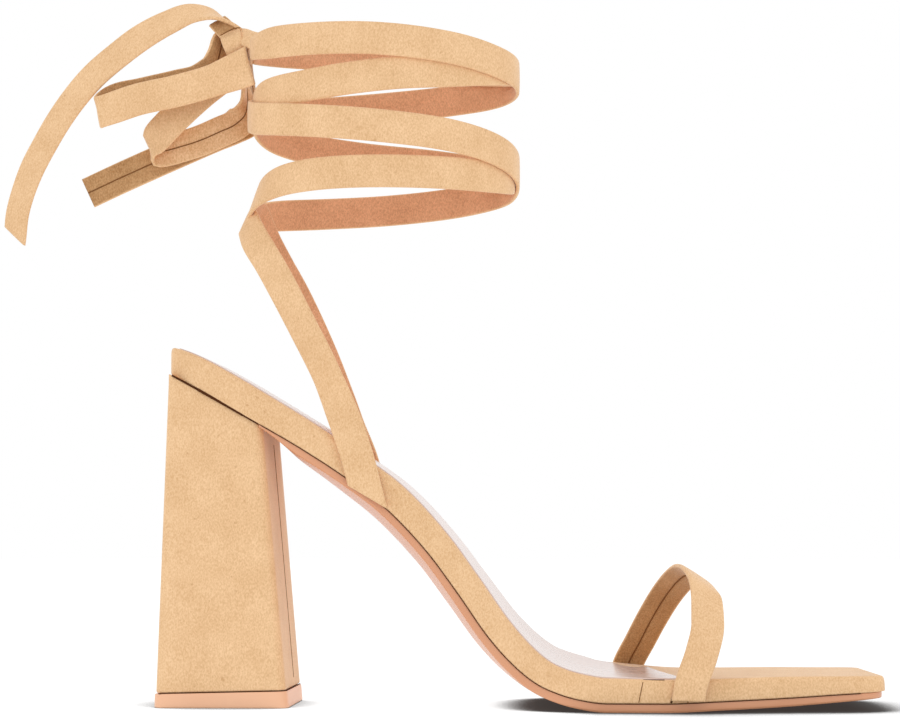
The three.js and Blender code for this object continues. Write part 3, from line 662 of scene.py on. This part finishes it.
OUTSOLE_INSET = 0.35
OUTSOLE_PLACES = places_along(HEEL_BREAST + 0.6, TOE_END - 1.0, 0.001, TOE_CORNER)
sole_piece(
    "outsole", OUTSOLE_PLACES, 0, TOE_CORNER, OUTSOLE_INSET,
    top=lambda s: 0 * s["x"] - 0.1, low=lambda s: -FIT_GAP - s["under"] * skived(s["x"]), edge_top=0.15,
    edge_low=0.7, material=sole_sheet, crowned=lambda s: s["crown"] * skived(s["x"]),
    round_ends=(False, True))

# %% [markdown]
# The heel is a hollow moulded block, wrapped in suede whose edges meet in a
# seam down the breast. It flares to its base, and its top is cut to the slope
# of the last. A boolean cut would leave thin faces that shade badly, so each
# upright of its skin runs from the lift to that slope instead.

# %% Heel block and lift
HEEL_BASE = (-19.5, 19.5)
HEEL_TOP_BACK = -16.0
HEEL_BASE_WIDTH = 44.5
HEEL_TOP_WIDTH = 49.0
LIFT = 4.6
LIFT_WEDGE = 0.9
HEEL_CORNER = 3.0


def rounded_box(back, front, side, radius, per_side=14, per_corner=7):
    """Points round a rectangle with round corners, always equally many."""
    centres = [(front - radius, radius - side, -90), (front - radius, side - radius, 0),
               (back + radius, side - radius, 90), (back + radius, radius - side, 180)]
    arcs = []
    for x, y, start in centres:
        turns = np.radians(np.linspace(start, start + 90, per_corner))
        arcs.append(np.stack([x + radius * np.cos(turns), y + radius * np.sin(turns)], axis=1))
    points = []
    for arc, following in zip(arcs, arcs[1:] + arcs[:1]):
        shares = np.arange(1, per_side)[:, None] / per_side
        points += [arc, arc[-1] + (following[0] - arc[-1]) * shares]
    return np.concatenate(points)


def heel_outline(share, inset):
    """The heel's outline at a share of its height for each point of it."""
    base = rounded_box(HEEL_BASE[0] + inset, HEEL_BASE[1] - inset, HEEL_BASE_WIDTH / 2 - inset,
                       HEEL_CORNER - inset)
    top = rounded_box(HEEL_TOP_BACK + inset, HEEL_BREAST - inset, HEEL_TOP_WIDTH / 2 - inset,
                      HEEL_CORNER - inset)
    return base + (top - base) * share[:, None]


def heel_solid(name, low, high, proud, edge_low, edge_high, material, levels=40):
    """A part of the heel between two heights that depend on x. It can stand proud of the rest."""
    bends = np.array([0, 0.03, 0.13, 0.3, 0.5, 0.75, 1])
    rings = []
    steps = [("low", b * edge_low, corner_pull(b * edge_low, edge_low)) for b in bends]
    steps += [("mid", k / levels, 0) for k in range(1, levels)]
    steps += [("high", b * edge_high, corner_pull(b * edge_high, edge_high)) for b in bends[::-1]]
    size = len(rounded_box(-1, 1, 1, 0.5))
    for kind, value, pull in steps:
        share = np.zeros(size)
        for _ in range(5):
            outline = heel_outline(share, pull - proud)
            bottom, top = low(outline[:, 0]), high(outline[:, 0])
            z = {"low": bottom + value, "high": top - value,
                 "mid": bottom + edge_low + (top - edge_high - bottom - edge_low) * value}[kind]
            share = np.clip((z - LIFT) / (SEAT_RISE - LIFT), -0.1, 1)
        rings.append(np.column_stack([outline, z]))
    made = outward(new_object(name, np.concatenate(rings), skin_faces(len(rings), size), material))
    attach(made, "root")
    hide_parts(name)
    print(name, len(made.data.vertices), "points")


def under_footbed(x):
    return last_at(np.clip(x, SEAT_BACK, None))["z"] - 0.15


def lift_top(x):
    return LIFT + LIFT_WEDGE * x / (HEEL_BASE[1] - HEEL_BASE[0])


LIFT_PROUD = 0.4
LIFT_JOINT = 0.25
heel_solid("heel_block", lambda x: lift_top(x) + LIFT_JOINT, under_footbed, proud=0.0, edge_low=0.6,
           edge_high=0.4, material=suede)
lift_plastic = moulded_sheet("peach moulded lift plastic", "#F4C09B", "#ECB48E", roughness=0.42,
                             grain_mm=0.7, coat=0.1)
heel_solid("heel_top_lift", lambda x: 0 * x, lift_top, proud=LIFT_PROUD, edge_low=0.5,
           edge_high=0.3, material=lift_plastic, levels=4)

# %% [markdown]
# The toe strap springs from the rand on both sides, where its ends go in under
# the footbed. It leans forward over the toes. It is one turned strap, so its
# inside shows the centre seam. The ribbon of the bow makes it too, along an arch
# whose table also says how far the strap tips forward.

# %% Toe strap
TOE_STRAP_WIDTH = 9.6
TOE_STRAP_THICKNESS = 1.5
TOE_STRAP_HEIGHT = 40.6
TOE_STRAP_BACK = 119.7
TOE_STRAP_SWEEP = 18.8
# Each row of the arch says how far out, up and ahead it is, and how it tips forward in degrees.
TOE_ARCH = np.array([
    (-1, 0.07, 0.973, 0), (-1, 0.22, 1.037, 0), (-0.985, 0.42, 1.19, 8), (-0.945, 0.63, 1.29, 18),
    (-0.87, 0.79, 1.285, 26), (-0.75, 0.895, 1.235, 31), (-0.5, 0.965, 1.14, 33), (-0.2, 0.98, 1.05, 33),
    (0.12, 0.93, 0.91, 33), (0.45, 0.805, 0.72, 31), (0.72, 0.63, 0.51, 26), (0.89, 0.45, 0.315, 16),
    (1, 0.26, 0.11, 6), (1, 0.07, 0, 0)])


def beside_footbed(x, edge, reach, thickness):
    """How far out the middle of a strap stands beside the footbed near x."""
    return last_at(x + np.array([-1, 0, 1]) * reach)[edge].max() + FIT_GAP + thickness / 2


def toe_strap_frames():
    ends = [beside_footbed(x, edge, TOE_STRAP_WIDTH / 2, TOE_STRAP_THICKNESS)
            for edge, x in (("inner", TOE_STRAP_BACK + TOE_STRAP_SWEEP), ("outer", TOE_STRAP_BACK))]
    keys = np.arange(len(TOE_ARCH))
    at = np.linspace(0, keys[-1], 160)
    out, up, ahead, tip = (eased(keys, TOE_ARCH[:, k], at) for k in range(4))
    middles = np.stack([TOE_STRAP_BACK + ahead * TOE_STRAP_SWEEP,
                        out * np.where(out < 0, ends[0], ends[1]), up * TOE_STRAP_HEIGHT], axis=1)
    lean = np.radians(tip)
    across = np.stack([np.cos(lean), 0 * lean, -np.sin(lean)], axis=1)
    return middles, unit(np.cross(across, unit(np.gradient(middles, axis=0))))


TOE_STRAP_CUT = (0.7, -0.17)
TOE_SEAM_DEPTH = (TOE_STRAP_THICKNESS - SEAM_GROOVE) / 2
middles, outs = toe_strap_frames()
toe_strap = ribbon("toe_strap", middles, outs, TOE_STRAP_WIDTH, TOE_STRAP_THICKNESS, suede,
                   cut=TOE_STRAP_CUT)
seam_lines.append(("centre_seam_toe_strap", back_line(middles, outs, TOE_SEAM_DEPTH)))
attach(toe_strap, "root")
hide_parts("toe_strap")
print("toe strap crown at", round(middles[:, 2].max(), 1), "mm")

# %% [markdown]
# Each tie rises from the rand, leans in to the back of the ankle, crosses the
# other there and winds twice round. A plain helix would climb evenly, which the
# photograph doesn't show. So a table gives the climb at each turn, and how many
# layers lie under it where the ties pass over each other.

# %% Ankle ties
ANKLE_MIDDLE = 46.8
ANKLE_LENGTH = 79.6
ANKLE_WIDTH = 66.0
WRAP_FOOT = 148.0
WRAP_RISE = 51.5
TIE_FOOT = 60.0
TIE_REACH = 14.0
FOLD_LEAN = 24.0
FOLD_TURN = 70.0
FOLD_START = 0.8
STRAP_WIDTH = 9.8
STRAP_THICKNESS = 1.2
LAYER_STEP = 1.45
OUTER_TIE_SETBACK = 2.5
TIE_END_WIDTH = 0.6
TIE_END_PINCH = 24.0
TIE_CUT_RISE = 2.6
TIE_CUT_SLANT = 1.0
TIE_STEP = 1.3
# Rows of the riser: ahead, out, share of the rise, turn of its face, share of the setback.
RISER = np.array([
    (-0.05, 1, 0, 0, 1), (-0.1, 1, 0.087, 0, 1), (-0.148, 1, 0.17, 0, 1.05), (-0.245, 1.01, 0.3, 6, 1.4),
    (-0.37, 1.02, 0.45, 27, 1.3), (-0.535, 0.96, 0.6, 27, 0.9), (-0.711, 0.83, 0.75, 24, 0.65),
    (-0.825, 0.67, 0.84, 27, 0.55), (-0.93, 0.47, 0.92, 37, 0.25), (-0.985, 0.22, 0.985, 62, 0)])
# Rows of the turns: degrees round the ankle, share of the climb, layers that lie beneath.
INNER_TURNS = np.array([
    (0, 0, 1.5), (30, 0.064, 1), (60, 0.102, 0.5), (90, 0.132, 0.3), (135, 0.184, 0.7), (160, 0.22, 1),
    (180, 0.282, 1), (200, 0.34, 1), (235, 0.421, 1), (265, 0.466, 1), (310, 0.532, 1), (335, 0.573, 1),
    (360, 0.631, 1), (405, 0.709, 0.6), (450, 0.777, 0.5), (480, 0.804, 0.7), (510, 0.82, 1),
    (540, 0.85, 1), (570, 0.888, 1), (595, 0.932, 1), (630, 0.977, 1), (660, 0.992, 1), (700, 1.002, 1),
    (716, 0.988, 1)])
OUTER_TURNS = np.array([
    (0, 0.045, 0), (20, 0.125, 0), (40, 0.178, 0), (60, 0.203, 0), (90, 0.212, 0), (130, 0.21, 0),
    (160, 0.22, 0), (180, 0.245, 0), (210, 0.305, 0), (253, 0.41, 0), (285, 0.46, 0), (310, 0.497, 0),
    (335, 0.542, 0), (360, 0.615, 0), (385, 0.694, 0), (418, 0.725, 0), (440, 0.755, 0), (460, 0.782, 0),
    (480, 0.802, 0), (515, 0.855, 0), (540, 0.893, 0), (600, 1, 0), (630, 1.075, 0), (655, 1.09, 0),
    (690, 1.075, 0.5), (716, 1.05, 1)])


def leaning(outs, degrees):
    """Level ways out, each leaned up by some degrees."""
    lean = np.radians(degrees)[:, None]
    return outs * np.cos(lean) + np.array([0, 0, 1]) * np.sin(lean)


def tie_frames(side, turns, setback):
    """The middle of a tie and the way its face looks. The inner tie's side is -1."""
    back_foot = WRAP_FOOT + turns[0, 1] * WRAP_RISE
    foot = ANKLE_MIDDLE + RISER[1, 0] * ANKLE_LENGTH / 2 - setback
    spread = beside_footbed(foot, "inner" if side < 0 else "outer", TIE_REACH, STRAP_THICKNESS)
    share = np.linspace(0, RISER[-1, 2], 90)
    ahead, out, face, lag = (eased(RISER[:, 2], RISER[:, k], share) for k in (0, 1, 3, 4))
    look = np.radians(face)
    rise_out = np.stack([-np.sin(look), side * np.cos(look), 0 * look], axis=1)
    rise = np.stack([ANKLE_MIDDLE + ahead * ANKLE_LENGTH / 2 - setback * lag,
                     side * out * spread, TIE_FOOT + share * (back_foot - TIE_FOOT)], axis=1)
    rise = rise + rise_out * (turns[0, 2] * LAYER_STEP * share)[:, None]
    rise_out = leaning(rise_out, FOLD_LEAN * gentle((share - FOLD_START) / (1 - FOLD_START)))
    turn = np.linspace(0, turns[-1, 0], 400)
    climb, layer = (eased(turns[:, 0], turns[:, k], turn) for k in (1, 2))
    angle = np.radians(180 + side * turn)
    radius = layer * LAYER_STEP
    wound = np.stack([ANKLE_MIDDLE + (ANKLE_LENGTH / 2 + radius) * np.cos(angle),
                      (ANKLE_WIDTH / 2 + radius) * np.sin(angle), WRAP_FOOT + climb * WRAP_RISE], axis=1)
    wound_out = np.stack([np.cos(angle) / ANKLE_LENGTH, np.sin(angle) / ANKLE_WIDTH, 0 * angle], axis=1)
    wound_out = unit(wound_out)
    wound_out = leaning(wound_out, FOLD_LEAN * (1 - gentle(turn / FOLD_TURN)))
    places, looks = np.concatenate([rise, wound]), np.concatenate([rise_out, wound_out])
    rows = flowing(np.column_stack([places, looks]), TIE_STEP)
    return rows[:, :3], unit(rows[:, 3:])


for name, side, turns, setback in (("inner_tie", -1, INNER_TURNS, 0.0),
                                   ("outer_tie", 1, OUTER_TURNS, OUTER_TIE_SETBACK)):
    middles, outs = tie_frames(side, turns, setback)
    left = np.concatenate([[0], np.cumsum(np.linalg.norm(np.diff(middles, axis=0), axis=1))])
    left = left[-1] - left
    pinch = TIE_END_WIDTH + (1 - TIE_END_WIDTH) * gentle(left / TIE_END_PINCH) if side < 0 else None
    tie = ribbon(name, middles, outs, STRAP_WIDTH, STRAP_THICKNESS, tie_suede, narrow=pinch,
                 cut=(TIE_CUT_RISE, -side * TIE_CUT_SLANT))
    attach(tie, "root")
    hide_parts("ankle_straps")
    print(name, "is", round(float(np.linalg.norm(np.diff(middles, axis=0), axis=1).sum())), "mm long")

# %% [markdown]
# The knot is the same strap pulled tight. Three short folds lie over a crumpled
# lump, which stands for what is hidden inside. It could be sculpted, but then
# none of its sizes could be changed by a number.

# %% Knot
KNOT_MIDDLE = np.array([2.4, -1.2, 202.2])
KNOT_SIZE = np.array([8.4, 7.0, 6.6])
KNOT_THICKNESS = 1.1
KNOT_STEP = 0.5
KNOT_WRAP = [
    (-2.2, 2.6, 206.6, 0, 85), (-0.9, -1.4, 206.8, 10, 62), (-0.3, -4, 205.2, 14, 34),
    (0.5, -5.6, 202.9, 12, 10), (1.6, -5.6, 200.4, 4, -12), (2.4, -4.4, 198.6, 0, -40)]
KNOT_ROOT = [(-4.6, -1.9, 209.8, 180, -30), (-3.1, -2.9, 208.3, 176, -10), (-1.5, -3.1, 206.6, 172, 5),
             (0.2, -1.4, 204.8, 170, 10)]
KNOT_SHOULDER = [(1.2, -2.2, 205.6, 10, 35), (3.6, -4.6, 204.6, 16, 22), (6.2, -8, 203, 26, 12),
                 (8.6, -11, 201.8, 34, 4)]
KNOT_PIECES = [("knot_wrap", KNOT_WRAP, 6.6), ("knot_root", KNOT_ROOT, 6.2),
               ("knot_shoulder", KNOT_SHOULDER, 5.6)]


def knot_lump():
    shell = bmesh.new()
    bmesh.ops.create_icosphere(shell, subdivisions=5, radius=0.5)
    points = np.array([v.co for v in shell.verts])
    faces = [tuple(v.index for v in f.verts) for f in shell.faces]
    shell.free()
    ahead, side, rise = points.T
    folds = 0.07 * np.sin(9 * ahead + 14 * rise) + 0.05 * np.sin(16 * rise - 8 * side)
    points = points * (1 + folds[:, None]) * KNOT_SIZE
    return new_object("knot", points + KNOT_MIDDLE, faces, suede)


knot = knot_lump()
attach(knot, "root")
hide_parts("knot")
for name, route, width in KNOT_PIECES:
    rows = flowing(route, KNOT_STEP)
    fold = ribbon(name, rows[:, :3], facing(rows[:, 3], rows[:, 4]), width, KNOT_THICKNESS, suede)
    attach(fold, "root")
print("knot of", len(KNOT_PIECES), "folds at", KNOT_MIDDLE)

# %% [markdown]
# Seams and closed cuts show as thin dark lines that follow a path. One node
# tree makes them all: it turns a path of edges into a curve, evens its points
# and sweeps a small round profile along it. Its sizes are named inputs. A real
# seam line can be thinner than 0.1 mm. These are drawn wider, so that they show.

# %% Crease lines by geometry nodes
def crease_material(name, deep, pale):
    material, tree = new_material(name)
    place = add(tree, "ShaderNodeTexCoord").outputs["Object"]
    twist = noise(tree, place, 1.2, 2.0)
    bump = add(tree, "ShaderNodeBump", {"Height": twist, "Strength": 0.3, "Distance": 0.1 * MM})
    close_material(tree, add(tree, "ShaderNodeBsdfPrincipled", {
        "Base Color": blend(tree, twist, linear(deep), linear(pale)), "Roughness": 0.95,
        "Normal": bump.outputs[0], "Specular IOR Level": 0.1}))
    return material


crease = crease_material("shadowed stitch crease", "#6B4628", "#9A6C42")
# The closed cuts are near black, dark for the joint itself and for painted shade inside the gap.
cut_with_painted_shade = crease_material("closed cut in shadow", "#3A1E0C", "#5E3418")


def crease_tree():
    tree = bpy.data.node_groups.new("line along a path", "GeometryNodeTree")
    tree.interface.new_socket("Path", in_out="INPUT", socket_type="NodeSocketGeometry")
    tree.interface.new_socket("Radius", in_out="INPUT", socket_type="NodeSocketFloat")
    tree.interface.new_socket("Spacing", in_out="INPUT", socket_type="NodeSocketFloat")
    tree.interface.new_socket("Finish", in_out="INPUT", socket_type="NodeSocketMaterial")
    tree.interface.new_socket("Line", in_out="OUTPUT", socket_type="NodeSocketGeometry")
    given = add(tree, "NodeGroupInput")
    curve = add(tree, "GeometryNodeMeshToCurve", {"Mesh": given.outputs["Path"]})
    even = add(tree, "GeometryNodeResampleCurve", {
        "Curve": curve.outputs[0], "Length": given.outputs["Spacing"]}, mode="LENGTH")
    profile = add(tree, "GeometryNodeCurvePrimitiveCircle", {
        "Resolution": 6, "Radius": given.outputs["Radius"]}, mode="RADIUS")
    swept = add(tree, "GeometryNodeCurveToMesh", {
        "Curve": even.outputs[0], "Profile Curve": profile.outputs[0], "Fill Caps": True})
    real = add(tree, "GeometryNodeRealizeInstances", {0: swept.outputs[0]})
    done = add(tree, "GeometryNodeSetMaterial", {
        "Geometry": real.outputs[0], "Material": given.outputs["Finish"]})
    add(tree, "NodeGroupOutput", {0: done.outputs[0]})
    return tree


LINE_STEP = 0.8
lines = crease_tree()


def crease_line(name, points_mm, radius_mm, finish):
    """A thin line along points, made by the tree and then kept as a plain mesh."""
    count = len(points_mm)
    path = bpy.data.meshes.new(name + "_path")
    path.from_pydata((np.array(points_mm) * MM).tolist(), [(i, i + 1) for i in range(count - 1)], [])
    holder = bpy.data.objects.new(name + "_path", path)
    bpy.context.scene.collection.objects.link(holder)
    modifier = holder.modifiers.new("line", "NODES")
    modifier.node_group = lines
    values = {"Radius": radius_mm * MM, "Spacing": LINE_STEP * MM, "Finish": finish}
    for item in lines.interface.items_tree:
        if item.in_out == "INPUT" and item.name in values:
            modifier[item.identifier] = values[item.name]
    graph = bpy.context.evaluated_depsgraph_get()
    mesh = bpy.data.meshes.new_from_object(holder.evaluated_get(graph), depsgraph=graph)
    bpy.data.objects.remove(holder)
    made = bpy.data.objects.new(name, mesh)
    bpy.context.scene.collection.objects.link(made)
    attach(made, "root")


SEAM_RADIUS = 0.2
for name, points in seam_lines:
    crease_line(name, points, SEAM_RADIUS, crease)
print(len(seam_lines), "centre seams")

# %% [markdown]
# The wrapped parts meet in closed joints. The heel's wrapper gapes a little
# under the rand, the rand is joined beside the toe strap, whose ends go down
# through a slot, and the heel's wrapper closes in a seam down its breast. A
# dark line in a fold of the knot is painted shade.

# %% Joints on the inner side and down the heel's breast, and painted shade in a knot fold
def on_rand(x, up, out=0.0):
    """Points on the rand's inner side at places x and heights up from its lower edge."""
    s = last_at(x)
    return np.stack([s["x"] + s["normal_x"] * up, -s["inner"] - out, s["z"] + s["normal_z"] * up], axis=1)


def breast_at(z):
    """How far forward the heel's breast is at heights z."""
    return HEEL_BASE[1] + (HEEL_BREAST - HEEL_BASE[1]) * (z - LIFT) / (SEAT_RISE - LIFT)


RAND_JOIN = (123.9, 125.1)
RAND_JOIN_TOP = (125.2, 131.4)
STRAP_SLOT = (133.2, 134.9)
BREAST_SEAM_SIDE = 3.0
heel_top = np.linspace(-14.6, 11.4, 24)
seat_gap = on_rand(heel_top, -0.12)
seat_gap[:, 1] = -HEEL_TOP_WIDTH / 2 - 0.1
# A dark line of painted shade in a fold of the knot.
KNOT_FOLD_SHADE = [(-3.1, -5.2, 204.8), (-1.4, -5.9, 205.6), (0.3, -6.1, 206.4), (1.7, -6, 207), (3, -5.6, 207)]
rand_seam = np.linspace(HEEL_BREAST + 1, TOE_END - 8, 120)
rand_here = last_at(np.array([sum(RAND_JOIN) / 2]))["rand"][0]
breast_rise = np.linspace(8, 79, 12)
breast_seam = np.stack([breast_at(breast_rise), 0 * breast_rise + BREAST_SEAM_SIDE, breast_rise], axis=1)
lift_line = np.array([(HEEL_BASE[0] + 1, -HEEL_BASE_WIDTH / 2), (HEEL_BASE[1] - 3, -HEEL_BASE_WIDTH / 2),
                      (HEEL_BASE[1] - 0.9, -HEEL_BASE_WIDTH / 2 + 0.9),
                      (HEEL_BASE[1], -HEEL_BASE_WIDTH / 2 + 3),
                      (HEEL_BASE[1], HEEL_BASE_WIDTH / 2 - 3)])
# The seat gap, rand seam, strap slot, rand join top and lift seam are drawn near black: joint and painted
# shade inside it.
JOINTS = [
    ("seat_gap", seat_gap, 0.34, cut_with_painted_shade),
    ("knot_fold_painted_shade", KNOT_FOLD_SHADE, 0.17, crease),
    ("seat_gap_middle", seat_gap[7:20], 0.46, cut_with_painted_shade),
    ("rand_seam", on_rand(rand_seam, 0 * rand_seam - 0.1, -0.12), 0.13, cut_with_painted_shade),
    ("rand_join", on_rand(np.linspace(*RAND_JOIN, 6), np.linspace(0.3, rand_here - 0.8, 6)), 0.14, crease),
    ("strap_slot", on_rand(np.linspace(*STRAP_SLOT, 6), np.linspace(0.2, rand_here - 1.6, 6)), 0.3,
     cut_with_painted_shade),
    ("rand_join_top", on_rand(np.linspace(*RAND_JOIN_TOP, 8), rand_here - 0.25, -1.1), 0.24, cut_with_painted_shade),
    ("breast_seam", breast_seam, 0.16, crease),
    ("lift_seam", np.column_stack([lift_line, lift_top(lift_line[:, 0]) + 0.12]), 0.15, cut_with_painted_shade)]
for name, points, radius, finish in JOINTS:
    crease_line(name, points, radius, finish)
